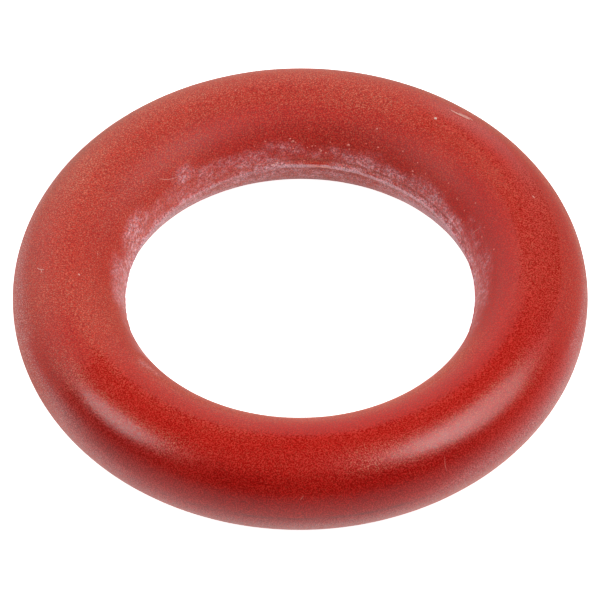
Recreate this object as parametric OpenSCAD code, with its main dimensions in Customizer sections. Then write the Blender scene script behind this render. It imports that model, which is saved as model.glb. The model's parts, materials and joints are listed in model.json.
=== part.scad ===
// Silicone o-ring, moulded in one piece: a round cord section turned once about the ring's axis.
// The halves of its mould met on the ring's middle plane. The parting line left a low ridge
// round the inside, and round the outside it was trimmed down to a narrow flat band.
// The ring lies flat: +Z is its axis, and the origin is its centre. Sizes are in millimetres.

/* [Ring] */
// Inside diameter of the ring, measured on its round section
inside_d = 11; // [6:0.5:60]
// Diameter of the round section
section_d = 3.5; // [2:0.1:8]

/* [Parting line] */
// How far the inside ridge stands out from the round section
ridge_h = 0.05; // [0.02:0.01:0.2]
// Width of the inside ridge's flat crest
crest_w = 0.1; // [0.04:0.02:0.3]
// Radius of the hollow that blends each side of the ridge into the round section
hollow_r = 0.4; // [0.2:0.05:1]
// Width of the flat band round the outside
band_w = 0.16; // [0.06:0.02:0.4]

/* [Hidden] */
// Colour of the silicone
silicone_red = [0.72, 0.2, 0.17];
// Straight sides that a full circle is shown with
$fn = 96;
section_r = section_d / 2;
// From the ring's axis to the middle of its section
ring_r = inside_d / 2 + section_r;
// From the middle of the section to the ridge's crest, and to the edge of that crest
crest_x = section_r + ridge_h;
crest_edge_r = norm([crest_x, crest_w / 2]);
// The hollow's arc touches the round section and ends at the crest's edge
hollow_mid_r = section_r + hollow_r;
hollow_angle = atan2(crest_w / 2, crest_x)
    + acos((crest_edge_r ^ 2 + hollow_mid_r ^ 2 - hollow_r ^ 2) / (2 * crest_edge_r * hollow_mid_r));
// From the middle of the section to the outside band
band_x = sqrt(section_r ^ 2 - (band_w / 2) ^ 2);

// Middle of the hollow above the ridge (side 1) or below it (side -1)
function hollow_mid(side) = hollow_mid_r * [-cos(hollow_angle), side * sin(hollow_angle)];

// The ridge's profile, from the middle of the section out to its flat crest
module inside_ridge() {
    difference() {
        polygon([
            [0, 0],
            hollow_mid(1),
            [-crest_x, crest_w / 2],
            [-crest_x, -crest_w / 2],
            hollow_mid(-1)
        ]);
        for (side = [-1, 1])
            translate(hollow_mid(side))
                circle(r = hollow_r);
    }
}

// What the trim took off at the outside band
module outside_trim() {
    translate([band_x, -band_w])
        square([section_r, 2 * band_w]);
}

// The moulded section, with the ring's axis towards -X
module moulded_section() {
    difference() {
        union() {
            circle(d = section_d);
            inside_ridge();
        }
        outside_trim();
    }
}

module o_ring() {
    color(silicone_red)
        rotate_extrude()
            translate([ring_r, 0])
                moulded_section();
}

o_ring();
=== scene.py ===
"""Looks of the silicone o-ring, in metres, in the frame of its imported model.

The ring lies flat on a white floor with its axis along +Z. A place on its skin is given by two
angles in degrees: theta goes round the ring from +X towards +Y, and phi round the section, from 0
at the outside through 90 on top to 180 at the inside. The camera looks from theta 270.
"""

import json
import math

import bpy
import numpy as np
from mathutils import Matrix, Vector


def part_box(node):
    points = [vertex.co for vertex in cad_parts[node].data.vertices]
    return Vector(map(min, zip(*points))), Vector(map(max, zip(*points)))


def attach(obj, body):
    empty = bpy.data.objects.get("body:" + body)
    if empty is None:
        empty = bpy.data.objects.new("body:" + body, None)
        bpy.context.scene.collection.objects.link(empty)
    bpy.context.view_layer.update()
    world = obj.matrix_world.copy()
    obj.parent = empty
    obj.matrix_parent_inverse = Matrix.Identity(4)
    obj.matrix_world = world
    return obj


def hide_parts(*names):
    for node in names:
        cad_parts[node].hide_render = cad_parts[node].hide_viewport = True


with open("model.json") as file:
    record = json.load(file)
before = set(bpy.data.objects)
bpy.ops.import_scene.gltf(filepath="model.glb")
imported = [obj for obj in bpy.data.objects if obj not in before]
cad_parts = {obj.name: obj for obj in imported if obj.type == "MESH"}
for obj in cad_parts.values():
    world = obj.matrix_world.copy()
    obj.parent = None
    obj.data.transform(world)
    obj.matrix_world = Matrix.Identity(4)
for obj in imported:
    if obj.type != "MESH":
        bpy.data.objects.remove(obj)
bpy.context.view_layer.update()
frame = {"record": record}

MM = 0.001

# Sizes of the ring, from the frame
ring_low, ring_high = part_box("o_ring")
mount_dims = {m["name"]: m["dims"] for m in frame["record"]["mounts"]}
crest_r = mount_dims["inner_seat"]["r_mm"] * MM
crest_w = mount_dims["inner_seat"]["length_mm"] * MM
band_r = mount_dims["outer_seat"]["r_mm"] * MM
band_w = mount_dims["outer_seat"]["length_mm"] * MM
section_r = (ring_high.z - ring_low.z) / 2
ring_r = band_r - math.sqrt(section_r**2 - (band_w / 2) ** 2)
inside_r = ring_r - section_r
ridge_h = inside_r - crest_r
floor_z = ring_low.z

# The mesh: steps round the ring, and round its section away from the ridge and across it
STEPS_ROUND = 720
STEPS_SKIN = 92
STEPS_RIDGE = 34
# Half of the tube angle that the finely divided strip at the ridge spans
RIDGE_STRIP = 11.0
# Half width of the ridge at its foot
FOOT_W = 0.22 * MM
# How far the moulded skin rises and falls, in long shallow waves
SKIN_WAVE = 0.006 * MM


def wrapped(angle):
    """An angle in degrees, brought between -180 and 180."""
    return (np.asarray(angle) + 180) % 360 - 180


def smooth(share):
    """A share held between 0 and 1, with its ends eased."""
    share = np.clip(share, 0, 1)
    return share * share * (3 - 2 * share)


def window(angle, start, stop, soft):
    """1 from one angle to another, falling smoothly to 0 within soft degrees outside them."""
    away = np.abs(wrapped(angle - (start + stop) / 2))
    return smooth(((stop - start) / 2 + soft - away) / soft)


def patch(theta, phi, round_ring, round_section):
    """1 inside a patch of the skin with soft edges, from its window in theta and in phi."""
    return window(theta, *round_ring) * window(phi, *round_section)


def ripple(theta, slowest, fastest, seed):
    """A smooth random wave round the ring, about -1 to 1, from slowest to fastest waves a turn."""
    draw = np.random.default_rng(seed)
    waves = np.arange(slowest, fastest + 1)
    starts = draw.uniform(0, 2 * np.pi, len(waves))
    sizes = draw.uniform(0.4, 1, len(waves))
    total = sum(s * np.cos(np.radians(theta) * w + p) for w, p, s in zip(waves, starts, sizes))
    return total / (1.6 * np.sqrt((sizes**2).sum()))


def skin_points(theta, phi, lift):
    """Points that stand out by lift from the plain round section."""
    t, p = np.radians(theta), np.radians(phi)
    reach = ring_r + (section_r + lift) * np.cos(p)
    return np.stack([reach * np.cos(t), reach * np.sin(t), (section_r + lift) * np.sin(p)], -1)


def ridge_wander(theta):
    """How many degrees of phi the ridge runs below the middle plane."""
    sunk = 4.0 * window(theta, 125, 160, 50) - 1.2 * window(theta, 76, 90, 22)
    return sunk + 0.25 * ripple(theta, 2, 12, seed=6)


def ridge_lift(theta, off):
    """How far the ridge stands out, at off metres from its crest line along the section."""
    ragged = 0.88 + 0.2 * ripple(theta, 5, 40, seed=3) + 0.2 * ripple(theta, 60, 220, seed=4)
    crest = crest_w / 2 * (1 + 0.25 * ripple(theta, 20, 160, seed=5))
    flank = np.clip((FOOT_W - np.abs(off)) / (FOOT_W - crest), 0, 1)
    worn = 1 - 0.65 * window(theta, 99, 114, 9)
    return ridge_h * np.clip(ragged * worn, 0.25, 1.0) * flank**2


def skin_wave(theta, phi):
    """The long shallow waves of the moulded skin."""
    across = np.cos(np.radians(phi) * 3 + ripple(theta, 1, 6, seed=12) * 2)
    return -SKIN_WAVE * (0.5 + 0.3 * ripple(theta, 6, 30, seed=11) + 0.2 * across)


def relief(theta, phi):
    """How far the skin stands out from the plain round section, with its ridge and its waves."""
    off = np.radians(wrapped(phi - 180 - ridge_wander(theta))) * section_r
    return ridge_lift(theta, off) + skin_wave(theta, phi)


def ring_mesh():
    """The ring as one closed mesh, with the ridge inside and the flat band outside."""
    theta = np.arange(STEPS_ROUND) * 360 / STEPS_ROUND
    skin = np.linspace(180 + RIDGE_STRIP, 540 - RIDGE_STRIP, STEPS_SKIN, endpoint=False)
    strip = np.linspace(180 - RIDGE_STRIP, 180 + RIDGE_STRIP, STEPS_RIDGE, endpoint=False)
    t, p = np.meshgrid(theta, np.concatenate([strip, skin]), indexing="ij")
    # The fine strip follows the ridge where it wanders
    p = p + ridge_wander(t) * window(p, 170, 190, 45)
    points = skin_points(t, p, relief(t, p))
    reach = np.hypot(points[..., 0], points[..., 1])
    trim = np.minimum(1, band_r / reach)
    points[..., :2] *= trim[..., None]
    count = p.shape[1]
    i, j = np.meshgrid(np.arange(STEPS_ROUND), np.arange(count), indexing="ij")
    here, there = i * count, (i + 1) % STEPS_ROUND * count
    k = (j + 1) % count
    faces = np.stack([here + j, there + j, there + k, here + k], -1).reshape(-1, 4)
    mesh = bpy.data.meshes.new("silicone_ring")
    mesh.from_pydata(points.reshape(-1, 3).tolist(), [], faces.tolist())
    mesh.polygons.foreach_set("use_smooth", np.ones(len(faces), bool))
    mesh.update()
    return mesh, t.ravel(), p.ravel() % 360


def add_mask(mesh, name, values):
    """Keeps a value per vertex, for the material to read."""
    mesh.attributes.new(name, "FLOAT", "POINT").data.foreach_set("value", np.maximum(values, 0))


# Patches of pale bloom: theta from and to, phi from and to, how many blobs, and how dense they are
BLOOM_PATCHES = [
    (24, 76, 161, 178, 136, 0.32),
    (38, 50, 153, 160, 14, 0.20),
    (104, 124, 157, 172, 44, 0.21),
    (104, 140, 168, 184, 50, 0.13),
    (127, 131, 146, 157, 12, 0.34),
    (130, 150, 158, 172, 30, 0.16),
    (151, 163, 146, 156, 20, 0.40),
    (151, 160, 156, 177, 22, 0.36),
    (154, 182, 162, 186, 110, 0.42),
    (142, 176, 178, 192, 74, 0.55),
    (176, 187, 148, 172, 16, 0.42),
    (4, 62, 177, 192, 130, 0.45),
    (12, 32, 176, 186, 26, 0.36),
    (218, 223, 123, 131, 4, 0.35),
    (-40, 24, 136, 168, 74, 0.21),
    (-14, 8, 140, 166, 44, 0.20),
    (-10, 34, 162, 188, 84, 0.38),
    (4, 66, 181, 214, 170, 0.62),
    (66, 94, 183, 214, 56, 0.50),
    (8, 40, 172, 190, 84, 0.32),
    (160, 184, 170, 188, 60, 0.40),
    (96, 186, 182, 216, 260, 0.62),
    (172, 190, 142, 176, 50, 0.38),
    (188, 205, 148, 170, 30, 0.26),
    (88, 104, 177, 184, 20, 0.34),
    (97, 103, 172, 180, 22, 0.40),
    (74, 77, 176, 181, 5, 0.34),
    (62, 104, 152, 160, 14, 0.14),
    (-18, 16, 160, 190, 100, 0.30),
    (120, 150, 188, 200, 60, 0.30),
    (96.8, 99.4, 174.5, 178.5, 9, 0.65),
    (73.8, 76.2, 174.5, 178.0, 7, 0.65),
    (84, 103, 154, 169, 18, 0.24),
    (71, 82, 158, 170, 9, 0.24),
]
# Size of a blob of bloom along the ring and across it
BLOB_LONG = 0.22 * MM
BLOB_WIDE = 0.12 * MM
BLOOM_SEED = 31


def bloom_mask(theta, phi):
    """Pale powder that the silicone gave off, thickest on the inside, as crowded soft blobs."""
    draw = np.random.default_rng(BLOOM_SEED)
    bare = np.ones_like(theta)
    for t0, t1, p0, p1, count, dense in BLOOM_PATCHES:
        for _ in range(count):
            long, wide = BLOB_LONG * draw.uniform(0.5, 1.5), BLOB_WIDE * draw.uniform(0.5, 1.5)
            along = np.radians(wrapped(theta - draw.uniform(t0, t1))) * inside_r / long
            across = np.radians(wrapped(phi - draw.uniform(p0, p1))) * section_r / wide
            bare *= 1 - dense * draw.uniform(0.4, 1.2) * np.exp(-(along**2) - across**2)
    return 1 - bare


# The far outline's phi in the photograph is the arc tangent of this slope times the sine of theta
OUTLINE_SLOPE = 0.869


def above_outline(theta, phi):
    """How many degrees a phi of 0 to 360 lies past the far side's outline in the photograph."""
    return phi - np.degrees(np.arctan(OUTLINE_SLOPE * np.sin(np.radians(theta))))


def film_and_sheen_mask(theta, phi):
    """The dull film, where the skin is matt and paler: at the back, on the sides, by the near hole. By
    the near hole and along the far outline on the right it is partly painted sheen.
    """
    lie = above_outline(theta, phi)
    back = window(theta, 75, 188, 52) * (0.9 + 0.2 * ripple(theta, 2, 9, seed=21))
    # Thinner at the far outline, inside the far top, on the near left shoulder and inside the left
    back = back * (1 - 0.8 * window(theta, 72, 106, 16) * window(lie, -30, 9, 5))
    back = back * (1 - 0.6 * patch(theta, phi, (58, 112, 16), (116, 162, 14)))
    back = back * (1 - 0.7 * patch(theta, phi, (202, 250, 14), (24, 78, 12)))
    back = back * (1 - 0.25 * patch(theta, phi, (115, 165, 20), (112, 146, 14)))
    # Thicker on the far left shoulder, and thinner from the far outline down to the middle plane
    back = back * (1 + 0.55 * patch(theta, phi, (92, 145, 24), (46, 76, 14)))
    back = back * smooth((lie + 40) / 40)
    right = 0.42 * patch(theta, phi, (-2, 50, 26), (20, 96, 20))
    right = right * (1 - 0.5 * patch(theta, phi, (36, 50, 12), (62, 78, 12)))
    # Along the far outline on the right: painted sheen where the skin turns away
    right = right + 0.85 * window(theta, 8, 66, 14) * window(lie, 0, 20, 8)
    right = right + 0.28 * patch(theta, phi, (30, 50, 12), (94, 108, 10))
    # By the near hole: partly painted sheen where the skin turns away
    near = 1.15 * smooth((phi - 103) / 28) * patch(theta, phi, (220, 322, 18), (90, 136, 24))
    near = near + 0.25 * patch(theta, phi, (210, 252, 16), (88, 120, 14))
    return np.maximum(np.maximum(back, right), near)


def foot_dust_and_reflection_mask(theta, phi):
    """Pale dust round the foot outside and inside, and higher up on the left and right sides, partly a
    painted reflection of the white floor.
    """
    left_side = 0.6 * patch(theta, phi, (150, 184, 18), (-20, 24, 24))
    left_side = left_side + 0.42 * patch(theta, phi, (194, 212, 14), (-34, 14, 16))
    right_side = 0.5 * patch(theta, phi, (-14, 12, 12), (-26, 18, 14))
    top = 18 - 14 * window(theta, 250, 284, 30) + 5 * window(theta, 306, 340, 16)
    foot_dust_and_reflection = smooth((top - wrapped(phi)) / 28) * (1 - 0.5 * window(theta, 250, 284, 24))
    foot_dust_and_reflection = foot_dust_and_reflection + 0.5 * smooth((-8 - wrapped(phi)) / 20)
    foot_dust_and_reflection = 0.46 * foot_dust_and_reflection * window(phi, -38, 40, 34) * (1 - 0.45 * window(theta, 40, 140, 30))
    inside = 0.7 * window(phi, 212, 226, 14) + 0.35 * window(phi, 190, 228, 12)
    return np.maximum(np.maximum(left_side, right_side), np.maximum(foot_dust_and_reflection, inside))


def rim_reflection_mask(theta, phi):
    """A painted pale reflection along the rim low in the hole, which climbs towards the left and the
    right side.
    """
    aside = np.abs(wrapped(theta - 90))
    start = 205 - 28 * smooth((aside - 8) / 62)
    rim = smooth((phi - start) / 7) * window(phi, 170, 226, 10)
    return rim * smooth((102 - aside) / 12) * (1 - 0.5 * window(theta, 62, 112, 12))


def matt_mask(theta, phi):
    """Where the skin is duller than the film alone would leave it."""
    inside = patch(theta, phi, (-36, 175, 18), (112, 200, 14))
    far_side = patch(theta, phi, (-8, 160, 25), (10, 52, 10))
    left = patch(theta, phi, (150, 206, 9), (15, 80, 12))
    near = 0.7 * patch(theta, phi, (205, 340, 20), (100, 140, 14))
    return np.maximum(np.maximum(inside, far_side), np.maximum(left, near))


def satin_mask(theta, phi):
    """Where the skin was polished by rubbing, on the near side."""
    return patch(theta, phi, (214, 332, 16), (0, 84, 12))


def highlight_glint_mask(theta, phi):
    """Painted glints: pale flecks set only where the two highlights fall."""
    left = patch(theta, phi, (210, 238, 12), (44, 60, 8))
    right = patch(theta, phi, (286, 326, 12), (46, 68, 8))
    return left + right


def painted_shade_mask(theta, phi):
    """Painted shade as a deeper red: low outside and below the near highlights, far outside up to its
    outline, and inside the far half and on the right.
    """
    low = patch(theta, phi, (214, 326, 20), (-30, 8, 18))
    low = low * (0.35 + 0.3 * window(theta, 246, 280, 20))
    front = np.maximum(patch(theta, phi, (224, 300, 28), (14, 38, 20)), low)
    back = 0.9 * patch(theta, phi, (62, 140, 26), (4, 46, 12))
    inside = 0.55 * patch(theta, phi, (55, 112, 20), (134, 160, 12))
    inside = inside + 0.34 * patch(theta, phi, (-14, 30, 16), (122, 152, 14))
    return (front + back + inside) * (0.85 + 0.2 * ripple(theta, 3, 14, seed=22))


def crest_highlight_mask(theta, phi):
    """A painted highlight along the crest of the ridge."""
    off = phi - 180 - ridge_wander(theta)
    # How strong the painted crest highlight is round the ring
    worn = 1.35 * window(theta, 32, 93, 8) + 0.3 * window(theta, 116, 150, 14) + 0.2
    return worn * window(off, -1.3, 1.3, 1.2) * (0.8 + 0.35 * ripple(theta, 20, 120, seed=41))


def crease_shade_mask(theta, phi):
    """Painted shade in the crease at the ridge's root on its upper side, and thinner on its lower
    side.
    """
    off = phi - 180 - ridge_wander(theta)
    upper = window(off, -8.6, -7.0, 1.6)
    lower = 0.6 * window(off, 4.4, 6.0, 1.6)
    ragged = np.clip(0.8 + 0.4 * ripple(theta, 12, 90, seed=42), 0, 1)
    return (upper + lower) * window(theta, 25, 92, 10) * ragged


def trim_shade_mask(theta, phi):
    """Painted shade: a faint dark line along the trimmed band outside."""
    ragged = np.clip(0.75 + 0.4 * ripple(theta, 8, 60, seed=43), 0, 1)
    return window(phi, -14, 10, 6) * (0.4 + 0.6 * window(theta, 262, 288, 14)) * ragged


# What each mask on the ring is called, and what works it out
MASKS = {
    "bloom": bloom_mask,
    "film_and_sheen": film_and_sheen_mask,
    "foot_dust_and_reflection": foot_dust_and_reflection_mask,
    "rim_reflection": rim_reflection_mask,
    "matt": matt_mask,
    "satin": satin_mask,
    "highlight_glint": highlight_glint_mask,
    "painted_shade": painted_shade_mask,
    "crest": crest_highlight_mask,
    "crease_shade": crease_shade_mask,
    "trim": trim_shade_mask,
}


def node(tree, kind, inputs=(), **settings):
    """A new node with its settings, and its inputs set to values or linked to sockets."""
    made = tree.nodes.new("ShaderNode" + kind)
    for name, value in settings.items():
        setattr(made, name, value)
    for key, value in dict(inputs).items():
        if isinstance(value, bpy.types.NodeSocket):
            tree.links.new(value, made.inputs[key])
        else:
            made.inputs[key].default_value = value
    return made


def maths(tree, operation, a, b=0.0):
    return node(tree, "Math", {0: a, 1: b}, operation=operation).outputs[0]


def times(tree, a, b):
    return maths(tree, "MULTIPLY", a, b)


def plus(tree, a, b):
    return maths(tree, "ADD", a, b)


def weighed(tree, start, *parts):
    """A start, and to that each value times its weight."""
    total = start
    for value, weight in parts:
        total = plus(tree, times(tree, value, weight), total)
    return total


def ranged(tree, value, start, stop, at_start, at_stop):
    """A value's stretch from start to stop, eased and turned into at_start to at_stop."""
    ends = {"From Min": start, "From Max": stop, "To Min": at_start, "To Max": at_stop}
    inputs = {"Value": value, **ends}
    return node(tree, "MapRange", inputs, interpolation_type="SMOOTHSTEP").outputs[0]


def noise(tree, place, size, detail=2.0, rough=0.5):
    """Noise whose spots are about size metres across."""
    inputs = {"Vector": place, "Scale": 1 / size, "Detail": detail, "Roughness": rough}
    return node(tree, "TexNoise", inputs).outputs[0]


def mixed(tree, share, a, b):
    """Colour a, turned into colour b by a share."""
    made = node(tree, "Mix", data_type="RGBA")
    sockets = {s.identifier: s for s in made.inputs}
    for key, value in (("Factor_Float", share), ("A_Color", a), ("B_Color", b)):
        if isinstance(value, bpy.types.NodeSocket):
            tree.links.new(value, sockets[key])
        else:
            sockets[key].default_value = value
    return [s for s in made.outputs if s.identifier == "Result_Color"][0]


def masked(tree, name):
    """A value that was kept per vertex."""
    return node(tree, "Attribute", attribute_name=name).outputs["Fac"]


def principled(name):
    """A new material and its node tree, with a Principled shader on the output."""
    material = bpy.data.materials.new(name)
    material.use_nodes = True
    tree = material.node_tree
    tree.nodes.clear()
    shader = node(tree, "BsdfPrincipled")
    node(tree, "OutputMaterial", {"Surface": shader.outputs[0]})
    return material, tree, shader


# The unrolled ring is squeezed to this share of its length, so that a noise's spots become streaks
STREAK_SQUEEZE = 0.12


def ring_places(tree):
    """Object coordinates, and the same unrolled so that streaks run along the ring."""
    place = node(tree, "TexCoord").outputs["Object"]
    parts = node(tree, "SeparateXYZ", {0: place}).outputs
    flat = node(tree, "CombineXYZ", {0: parts[0], 1: parts[1]}).outputs[0]
    reach = node(tree, "VectorMath", {0: flat}, operation="LENGTH").outputs["Value"]
    outward = node(tree, "VectorMath", {0: flat}, operation="NORMALIZE").outputs[0]
    out = maths(tree, "SUBTRACT", reach, ring_r)
    turn = maths(tree, "ARCTAN2", out, parts[2])
    across = times(tree, turn, section_r)
    squeezed = {0: outward, "Scale": ring_r * STREAK_SQUEEZE}
    round_ring = node(tree, "VectorMath", squeezed, operation="SCALE").outputs[0]
    up = node(tree, "CombineXYZ", {2: across}).outputs[0]
    along = node(tree, "VectorMath", {0: round_ring, 1: up}, operation="ADD").outputs[0]
    return place, along


# Colours of the silicone: its dark and light grains, its clouds, and the darker reds of painted shade,
# broad and in the crease at the ridge's root
DARK_GRAIN = (0.45, 0.001, 0.0005, 1)
LIGHT_GRAIN = (0.545, 0.007, 0.004, 1)
CLOUD_RED = (0.54, 0.008, 0.004, 1)
PAINTED_SHADE_RED = (0.28, 0.001, 0.0005, 1)
CREASE_SHADE_RED = (0.22, 0.008, 0.008, 1)
# Colours of what lies on it, and of painted light: the film, partly painted sheen; the dust at the
# foot, partly a painted reflection of the floor; the bloom, also the colour of the painted crest
# highlight; and the painted pale reflection low in the hole
FILM_SHEEN_GLINT_COLOUR = (0.80, 0.56, 0.33, 1)
FOOT_DUST_AND_REFLECTION_COLOUR = (0.72, 0.55, 0.55, 1)
BLOOM_AND_CREST_HIGHLIGHT_COLOUR = (0.80, 0.47, 0.51, 1)
RIM_REFLECTION_COLOUR = (0.66, 0.56, 0.66, 1)
# Colour of the painted shade line along the trimmed band, its height, and where it starts and ends to
# fade
TRIM_SHADE_COLOUR = (0.22, 0.02, 0.015, 1)
TRIM_LEVEL = -0.13 * MM
TRIM_FADE = (0.02 * MM, 0.08 * MM)
# How large the spots are in the grain, the flecks, the clouds, and the bloom's three noises
GRAIN_SIZE = 0.041 * MM
FLECK_SIZE = 0.036 * MM
CLOUD_SIZE = 1.3 * MM
SPECKLE_SIZE = 0.09 * MM
CLUMP_SIZE = 0.22 * MM
STREAK_SIZE = 0.06 * MM
# The most that the bloom and the painted crest highlight cover
BLOOM_MOST = 0.95
# How bright the skin is on the whole, and how deep its relief
SKIN_SHADE = 0.975
SKIN_RELIEF = 0.0013 * MM
SILICONE_IOR = 1.42
# The soft pale sheen of the powdery skin where it turns away
SHEEN_WEIGHT = 0.30
SHEEN_ROUGHNESS = 0.35
SHEEN_TINT = (1.0, 0.62, 0.42, 1)


def bare_silicone(tree, place, mask, grain):
    """The red itself: grained and clouded, with painted shade as a deeper red and as a darker red at
    the ridge's root.
    """
    pigment = mixed(tree, grain, DARK_GRAIN, LIGHT_GRAIN)
    cloud = noise(tree, place, CLOUD_SIZE)
    clouded = mixed(tree, ranged(tree, cloud, 0.35, 0.65, 0.0, 0.3), pigment, CLOUD_RED)
    # Painted shade: a deeper red where shade falls
    shade_painted = mixed(tree, times(tree, mask["painted_shade"], 0.55), clouded, PAINTED_SHADE_RED)
    # Painted shade: a darker red in the crease at the ridge's root
    return mixed(tree, times(tree, mask["crease_shade"], 0.5), shade_painted, CREASE_SHADE_RED)


def film_sheen_glint_share(tree, mask, grain, fleck):
    """How much the film covers, partly painted sheen: a thin coat that follows the grain, and flecks,
    which are also painted glints in the highlights.
    """
    coat = weighed(tree, 0.010, (mask["film_and_sheen"], 0.04), (mask["painted_shade"], -0.010))
    coat = times(tree, coat, weighed(tree, 0.4, (grain, 1.2)))
    shown = (mask["film_and_sheen"], 0.19), (mask["satin"], 0.032), (mask["matt"], 0.04), (mask["highlight_glint"], 0.19)
    flecked = weighed(tree, 0.038, *shown)
    flecked = times(tree, flecked, weighed(tree, 1.0, (mask["painted_shade"], -0.42)))
    return plus(tree, coat, times(tree, flecked, fleck))


def trim_shade_share(tree, place, mask):
    """How much the painted shade line along the trimmed band covers."""
    level = node(tree, "SeparateXYZ", {0: place}).outputs[2]
    off = maths(tree, "ABSOLUTE", plus(tree, level, -TRIM_LEVEL))
    return times(tree, mask["trim"], ranged(tree, off, *TRIM_FADE, 0.6, 0.0))


def bloom_and_crest_highlight_share(tree, place, along, mask, grain):
    """How much the bloom covers: speckled, clumped and streaked, and with a painted highlight along
    the crest.
    """
    speckled = ranged(tree, noise(tree, place, SPECKLE_SIZE, 1.0, 0.5), 0.40, 0.62, 0.45, 1.40)
    clumped = ranged(tree, noise(tree, place, CLUMP_SIZE, 2.0, 0.6), 0.38, 0.62, 0.55, 1.35)
    streaked = ranged(tree, noise(tree, along, STREAK_SIZE, 2.0, 0.6), 0.4, 0.6, 0.92, 1.08)
    powder = times(tree, mask["bloom"], speckled)
    powder = times(tree, powder, times(tree, times(tree, clumped, streaked), 0.5))
    powder = times(tree, powder, weighed(tree, 1.0, (mask["crease_shade"], -0.8)))
    # A painted highlight along the ridge's crest, in the bloom's colour
    crest = times(tree, mask["crest"], weighed(tree, 0.5, (grain, 0.3)))
    return maths(tree, "MINIMUM", plus(tree, powder, crest), BLOOM_MOST)


def shaded(tree, colour, mask, grain):
    """The colour made lighter and darker by the grain, most in the painted shade and where it has
    bloom.
    """
    swing = weighed(tree, 0.30, (mask["painted_shade"], 0.28), (mask["bloom"], 0.4))
    shade = weighed(tree, SKIN_SHADE, (plus(tree, grain, -0.5), swing))
    return node(tree, "VectorMath", {0: colour, "Scale": shade}, operation="SCALE").outputs[0]


def skin_roughness(tree, mask, grain, powder):
    """How rough the skin is: its grain, what dulls it, and where it was polished."""
    dull = plus(tree, ranged(tree, mask["film_and_sheen"], 0.4, 1.0, 0.0, 0.36), times(tree, mask["foot_dust_and_reflection"], 0.3))
    dull = maths(tree, "MAXIMUM", dull, times(tree, mask["matt"], 0.3))
    dull = maths(tree, "MAXIMUM", dull, times(tree, powder, 0.6))
    polish = (mask["painted_shade"], -0.02), (mask["satin"], -0.05)
    return plus(tree, weighed(tree, 0.17, (grain, 0.26), *polish), dull)


def silicone():
    """Red silicone with a satin skin, a dull film in places and pale bloom inside, and painted shade,
    sheen, glints, floor reflection and a crest highlight in its colour.
    """
    material, tree, shader = principled("red_silicone_skin")
    place, along = ring_places(tree)
    mask = {name: masked(tree, name) for name in MASKS}
    grain = ranged(tree, noise(tree, place, GRAIN_SIZE, 1.0, 0.6), 0.36, 0.64, 0.0, 1.0)
    fleck = ranged(tree, noise(tree, place, FLECK_SIZE, 1.0, 0.5), 0.48, 0.72, 0.0, 1.0)
    # The bloom, with the painted highlight along the crest
    powder = bloom_and_crest_highlight_share(tree, place, along, mask, grain)

    red = bare_silicone(tree, place, mask, grain)
    # The film, partly painted sheen, with painted glints in the highlights
    film_sheen_glinted = mixed(tree, film_sheen_glint_share(tree, mask, grain, fleck), red, FILM_SHEEN_GLINT_COLOUR)
    # The dust at the foot, partly a painted reflection of the white floor
    foot_share = times(tree, mask["foot_dust_and_reflection"], weighed(tree, 0.12, (fleck, 1.1)))
    with_foot_tint = mixed(tree, foot_share, film_sheen_glinted, FOOT_DUST_AND_REFLECTION_COLOUR)
    # A painted shade line along the trimmed band
    trim_shaded = mixed(tree, trim_shade_share(tree, place, mask), with_foot_tint, TRIM_SHADE_COLOUR)
    # The bloom, and the painted highlight along the crest
    bloomed_and_crest_lit = mixed(tree, powder, trim_shaded, BLOOM_AND_CREST_HIGHLIGHT_COLOUR)
    # A painted pale reflection low in the hole
    rim_reflected = mixed(tree, times(tree, mask["rim_reflection"], 0.34), bloomed_and_crest_lit, RIM_REFLECTION_COLOUR)
    tree.links.new(shaded(tree, rim_reflected, mask, grain), shader.inputs["Base Color"])

    tree.links.new(skin_roughness(tree, mask, grain, powder), shader.inputs["Roughness"])
    shader.inputs["IOR"].default_value = SILICONE_IOR
    shader.inputs["Sheen Weight"].default_value = SHEEN_WEIGHT
    shader.inputs["Sheen Roughness"].default_value = SHEEN_ROUGHNESS
    shader.inputs["Sheen Tint"].default_value = SHEEN_TINT
    height = plus(tree, grain, times(tree, powder, 0.8))
    bump = node(tree, "Bump", {"Height": height, "Strength": 1.0, "Distance": SKIN_RELIEF})
    tree.links.new(bump.outputs[0], shader.inputs["Normal"])
    return material


# How much light the floor adds of its own where the camera sees it
FLOOR_GLOW = 1.0
# The same for a reflection, by the ring and farther off, and where that fall begins and ends
GLOSS_GLOW_NEAR = 0.6
GLOSS_GLOW_FAR = 0.08
GLOSS_GLOW_ENDS = (9.6 * MM, 14.5 * MM)
# The floor's tone by the ring, and farther off, where it is painted darker as shade
FLOOR_NEAR = 0.9
FLOOR_FAR = 0.32
# Where that fall begins and ends, from the ring's axis
FLOOR_LIT = (12 * MM, 28 * MM)
# From the ring's axis to the floor's nearest edge
FLOOR_REACH = 5.0


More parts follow.
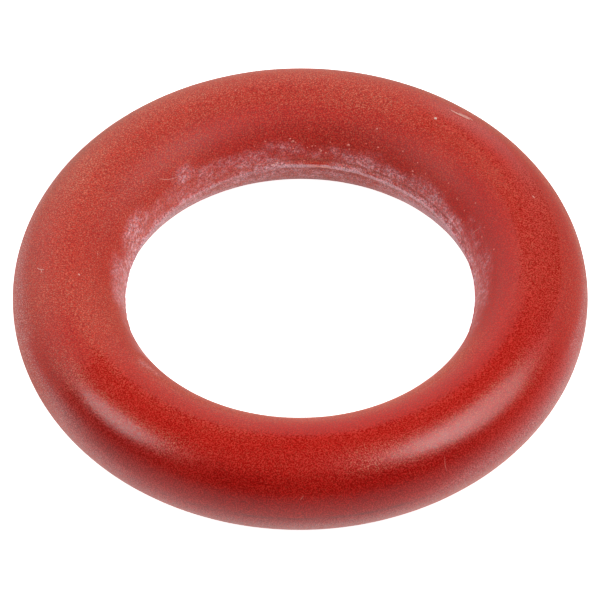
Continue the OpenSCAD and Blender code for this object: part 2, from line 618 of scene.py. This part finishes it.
def floor_material():
    """A white floor that takes the ring's shadow, and glows to white for what looks at it; its tone is
    painted darker farther off.
    """
    material = bpy.data.materials.new("white_floor")
    material.use_nodes = True
    tree = material.node_tree
    tree.nodes.clear()
    rays = node(tree, "LightPath").outputs
    place = node(tree, "TexCoord").outputs["Object"]
    reach = node(tree, "VectorMath", {0: place}, operation="LENGTH").outputs["Value"]
    tone = ranged(tree, reach, *FLOOR_LIT, FLOOR_NEAR, FLOOR_FAR)
    mirrored = plus(tree, rays["Is Glossy Ray"], rays["Is Transmission Ray"])
    fall = ranged(tree, reach, *GLOSS_GLOW_ENDS, GLOSS_GLOW_NEAR, GLOSS_GLOW_FAR)
    mirrored = times(tree, mirrored, fall)
    glow = plus(tree, times(tree, rays["Is Camera Ray"], FLOOR_GLOW), mirrored)
    glow = node(tree, "Emission", {"Strength": glow})
    plain = node(tree, "BsdfDiffuse", {"Color": tone})
    both = node(tree, "AddShader", {0: plain.outputs[0], 1: glow.outputs[0]})
    node(tree, "OutputMaterial", {"Surface": both.outputs[0]})
    return material


def placed(name, mesh, material):
    """A new object in the scene, with its mesh and its one material."""
    mesh.materials.append(material)
    made = bpy.data.objects.new(name, mesh)
    bpy.context.scene.collection.objects.link(made)
    return made


def floor_mesh():
    mesh = bpy.data.meshes.new("floor")
    signs = [(-1, -1), (1, -1), (1, 1), (-1, 1)]
    corners = [(x * FLOOR_REACH, y * FLOOR_REACH, floor_z) for x, y in signs]
    mesh.from_pydata(corners, [], [(0, 1, 2, 3)])
    return mesh


# The camera, from a fit to the ring's outlines in the 600 x 600 photograph
PHOTO_PX = 600
ELEVATION = math.radians(49.04)
DISTANCE = 0.6638
PX_PER_M = 31974
ROLL = math.radians(0.3585)
# Where the ring's centre lies in the photograph, in pixels from its top left corner
CENTRE_PX = (300.25, 297.39)
SENSOR_MM = 36
# What the camera sees starts and stops at these distances
CLIP_START = 0.01
CLIP_END = 20


def make_camera():
    data = bpy.data.cameras.new("camera")
    camera = bpy.data.objects.new("camera", data)
    bpy.context.scene.collection.objects.link(camera)
    data.sensor_width = SENSOR_MM
    data.lens = PX_PER_M * DISTANCE * SENSOR_MM / PHOTO_PX
    back = Vector((0, -math.cos(ELEVATION), math.sin(ELEVATION)))
    level = Vector((1, 0, 0))
    rise = back.cross(level)
    right = level * math.cos(ROLL) - rise * math.sin(ROLL)
    up = level * math.sin(ROLL) + rise * math.cos(ROLL)
    centre_right = (CENTRE_PX[0] - PHOTO_PX / 2) / PX_PER_M
    centre_up = (PHOTO_PX / 2 - CENTRE_PX[1]) / PX_PER_M
    place = back * DISTANCE - right * centre_right - up * centre_up
    turned = Matrix((right, up, back)).transposed().to_4x4()
    camera.matrix_world = Matrix.Translation(place) @ turned
    data.clip_start = CLIP_START
    data.clip_end = CLIP_END
    bpy.context.scene.camera = camera


# Softboxes: azimuth, elevation and spread as seen from the ring, in degrees, and strength
SOFTBOXES = {
    "right_softbox": (349, 47, 42, 1.85),
    "near_right_softbox": (329, 51, 26, 0.6),
    "left_softbox": (193, 35, 28, 1.2),
    "back_left_panel": (138, 20, 45, 0.8),
    "back_panel": (92, 10, 55, 0.84),
}


def on_ball(turn, rise):
    """The direction that turns from +X and rises from the floor by these angles, in radians."""
    flat = math.cos(rise)
    return Vector((math.cos(turn) * flat, math.sin(turn) * flat, math.sin(rise)))


def make_softbox(name, azimuth, elevation, spread, strength):
    """A far softbox: a sun lamp as wide as the softbox looks from the ring."""
    data = bpy.data.lights.new(name, "SUN")
    data.energy = strength
    data.angle = math.radians(spread)
    lamp = bpy.data.objects.new(name, data)
    towards = on_ball(math.radians(azimuth), math.radians(elevation))
    lamp.matrix_world = towards.to_track_quat("Z", "Y").to_matrix().to_4x4()
    bpy.context.scene.collection.objects.link(lamp)


# How strong the world's even light is, and how much more of it a reflection finds past the floor
WORLD_STRENGTH = 0.03
WORLD_GLOSS_GLOW = 0.01


def make_world():
    """A dim even light, which looks white where the camera sees past the floor's edge."""
    world = bpy.data.worlds.new("studio")
    bpy.context.scene.world = world
    world.use_nodes = True
    tree = world.node_tree
    background = tree.nodes["Background"]
    background.inputs["Color"].default_value = (1, 1, 1, 1)
    rays = node(tree, "LightPath").outputs
    seen = plus(tree, rays["Is Camera Ray"], rays["Is Transmission Ray"])
    parts = (seen, 1 - WORLD_STRENGTH), (rays["Is Glossy Ray"], WORLD_GLOSS_GLOW)
    tree.links.new(weighed(tree, WORLD_STRENGTH, *parts), background.inputs["Strength"])


# Specks of dust that show: theta, phi, length and width in mm, how many degrees they are turned,
# and how pale they are
SPECKS = [
    (54, 89, 0.11, 0.10, 0, 0.9),
    (20, 72, 0.13, 0.06, 10, 0.1),
    (184, 101, 0.10, 0.07, 30, 0.3),
    (67, 125, 0.08, 0.06, 0, 0.1),
    (57, 137, 0.07, 0.06, 20, 0.0),
    (65, 143, 0.07, 0.06, 10, 0.0),
    (69, 143, 0.06, 0.05, 50, 0.0),
    (74.5, 149, 0.11, 0.08, 0, 0.0),
    (92, 150, 0.12, 0.09, 15, 0.0),
    (92, 158, 0.08, 0.06, 0, 0.0),
    (83, 160, 0.09, 0.07, 60, 0.1),
    (95, 162, 0.09, 0.06, 0, 0.0),
    (37, 159, 0.10, 0.06, 80, 0.0),
    (13, 160, 0.10, 0.06, 75, 0.2),
    (75.2, 176.4, 0.08, 0.06, 10, 0.6),
    (97.3, 174.6, 0.06, 0.05, 0, 0.5),
    (98.6, 176.4, 0.08, 0.06, 10, 0.6),
    (221, 127, 0.12, 0.04, 85, 0.2),
]
# Lint: theta and phi at one end and the other, width in mm, how far it bows sideways in mm,
# and how pale it is
LINT = [
    (53.0, 67, 48.2, 63.5, 0.044, 0.03, 0.5),
    (51.2, 64.5, 47.6, 61.5, 0.036, -0.02, 0.4),
    (180.0, 57, 181.2, 65, 0.026, 0.02, 0.5),
    (180.6, 61, 181.8, 62.5, 0.020, 0.0, 0.5),
    (18.2, 141, 18.8, 156, 0.026, 0.03, 0.0),
    (138, 139, 132, 150, 0.018, 0.05, 0.3),
    (269.7, 21.5, 270.5, 27, 0.011, 0.0, 0.0),
    (300.9, 36, 300.4, 19, 0.010, 0.03, 0.0),
    (87, 178.4, 79.3, 179.4, 0.034, 0.01, 0.25),
]
# Small specks strewn at random: theta from and to, phi from and to, and how many
STREWN = [
    (0, 52, 130, 166, 24),
    (14, 110, 142, 176, 26),
    (78, 97, 146, 174, 11),
    (110, 190, 142, 178, 20),
    (60, 200, 60, 140, 10),
]
# The smallest and largest of those, and their width as a share of their length
STREWN_SIZES = (0.03 * MM, 0.08 * MM)
STREWN_WIDTH = 0.8
DUST_SEED = 51
# How finely a speck and a fibre are cut
SPECK_SIDES = 9
LINT_STEPS = 12
LINT_SIDES = 6
# How far a speck stands out and reaches in, and a fibre's middle stands out, as shares of its width
SPECK_OUT = 0.22
SPECK_IN = 0.3
LINT_OUT = 0.2
# About how many times as far a degree of theta goes along the skin as a degree of phi
LINT_STRETCH = 3


def skin_frame(theta, phi):
    """A place on the skin, with the ways along the ring, across it and outwards."""
    place = Vector(skin_points(theta, phi, relief(theta, phi)).tolist())
    t, p = math.radians(theta), math.radians(phi)
    along = Vector((-math.sin(t), math.cos(t), 0))
    out = on_ball(t, p)
    return place, along, out.cross(along), out


def add_speck(points, faces, theta, phi, length, width, turn, draw):
    """A closed flake with a ragged edge, half sunk in the skin."""
    place, along, across, out = skin_frame(theta, phi)
    c, s = math.cos(math.radians(turn)), math.sin(math.radians(turn))
    first = len(points)
    for k in range(SPECK_SIDES):
        angle = 2 * math.pi * k / SPECK_SIDES
        size = draw.uniform(0.7, 1.15) / 2
        x, y = size * length * math.cos(angle), size * width * math.sin(angle)
        points.append(place + along * (x * c - y * s) + across * (x * s + y * c))
    points.append(place + out * width * SPECK_OUT)
    points.append(place - out * width * SPECK_IN)
    top, bottom = first + SPECK_SIDES, first + SPECK_SIDES + 1
    for k in range(SPECK_SIDES):
        a, b = first + k, first + (k + 1) % SPECK_SIDES
        faces.append((a, b, top))
        faces.append((b, a, bottom))


def add_lint(points, faces, start, end, width, bow):
    """A closed thin fibre that lies on the skin, thinner towards both ends."""
    first = len(points)
    turn, climb = end[0] - start[0], end[1] - start[1]
    for k in range(LINT_STEPS + 1):
        share = k / LINT_STEPS
        place, along, across, out = skin_frame(start[0] + turn * share, start[1] + climb * share)
        line = along * turn * LINT_STRETCH + across * climb
        side = line.normalized().cross(out)
        middle = place + side * bow * math.sin(math.pi * share) + out * width * LINT_OUT
        thick = width / 2 * math.sin(math.pi * (0.06 + 0.88 * share)) ** 0.4
        for n in range(LINT_SIDES):
            angle = 2 * math.pi * n / LINT_SIDES
            points.append(middle + (side * math.cos(angle) + out * math.sin(angle)) * thick)
    for k in range(LINT_STEPS):
        row = first + k * LINT_SIDES
        for n in range(LINT_SIDES):
            a, b = row + n, row + (n + 1) % LINT_SIDES
            faces.append((a, b, b + LINT_SIDES, a + LINT_SIDES))
    last = first + LINT_STEPS * LINT_SIDES
    faces.append(tuple(first + n for n in reversed(range(LINT_SIDES))))
    faces.append(tuple(last + n for n in range(LINT_SIDES)))


def dust_mesh():
    """All specks and lint in one mesh, which keeps how pale each of them is."""
    draw = np.random.default_rng(DUST_SEED)
    points, faces, pale = [], [], []
    for theta, phi, length, width, turn, how_pale in SPECKS:
        add_speck(points, faces, theta, phi, length * MM, width * MM, turn, draw)
        pale += [how_pale] * (len(points) - len(pale))
    for t0, t1, p0, p1, count in STREWN:
        for _ in range(count):
            size = draw.uniform(*STREWN_SIZES)
            where = draw.uniform(t0, t1), draw.uniform(p0, p1)
            turn = draw.uniform(0, 180)
            add_speck(points, faces, *where, size, size * STREWN_WIDTH, turn, draw)
    pale += [0.0] * (len(points) - len(pale))
    for t0, p0, t1, p1, width, bow, how_pale in LINT:
        add_lint(points, faces, (t0, p0), (t1, p1), width * MM, bow * MM)
        pale += [how_pale] * (len(points) - len(pale))
    mesh = bpy.data.meshes.new("dust_specks")
    mesh.from_pydata([tuple(p) for p in points], [], faces)
    mesh.polygons.foreach_set("use_smooth", np.ones(len(faces), bool))
    add_mask(mesh, "pale", np.array(pale))
    mesh.update()
    return mesh


# Colours of the dust: two that it varies between, and that of the palest specks
DUST_RED = (0.70, 0.13, 0.09, 1)
DUST_PINK = (0.82, 0.31, 0.25, 1)
DUST_PALE = (0.95, 0.76, 0.66, 1)
# How large the spots are in its colour and its fuzz, and how deep the fuzz is
DUST_SPOT = 0.6 * MM
FUZZ_SIZE = 0.03 * MM
FUZZ_DEPTH = 0.004 * MM


def dust():
    """Pale dust that has taken some of the red under it."""
    material, tree, shader = principled("pale_dust")
    place = node(tree, "TexCoord").outputs["Object"]
    spots = ranged(tree, noise(tree, place, DUST_SPOT), 0.35, 0.65, 0.0, 1.0)
    fuzz = noise(tree, place, FUZZ_SIZE, 2.0, 0.6)
    colour = mixed(tree, spots, DUST_RED, DUST_PINK)
    colour = mixed(tree, masked(tree, "pale"), colour, DUST_PALE)
    tree.links.new(colour, shader.inputs["Base Color"])
    tree.links.new(ranged(tree, fuzz, 0.3, 0.7, 0.6, 0.9), shader.inputs["Roughness"])
    bump = node(tree, "Bump", {"Height": fuzz, "Strength": 0.6, "Distance": FUZZ_DEPTH})
    tree.links.new(bump.outputs[0], shader.inputs["Normal"])
    return material


skin_mesh, skin_theta, skin_phi = ring_mesh()
for mask_name, worked_out in MASKS.items():
    add_mask(skin_mesh, mask_name, worked_out(skin_theta, skin_phi))
ring = placed("silicone_ring", skin_mesh, silicone())
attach(ring, "root")
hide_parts("o_ring")

specks = placed("dust_specks", dust_mesh(), dust())
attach(specks, "root")

floor = placed("floor", floor_mesh(), floor_material())

make_camera()
for softbox_name, softbox in SOFTBOXES.items():
    make_softbox(softbox_name, *softbox)
make_world()
bpy.context.scene.view_settings.view_transform = "Standard"
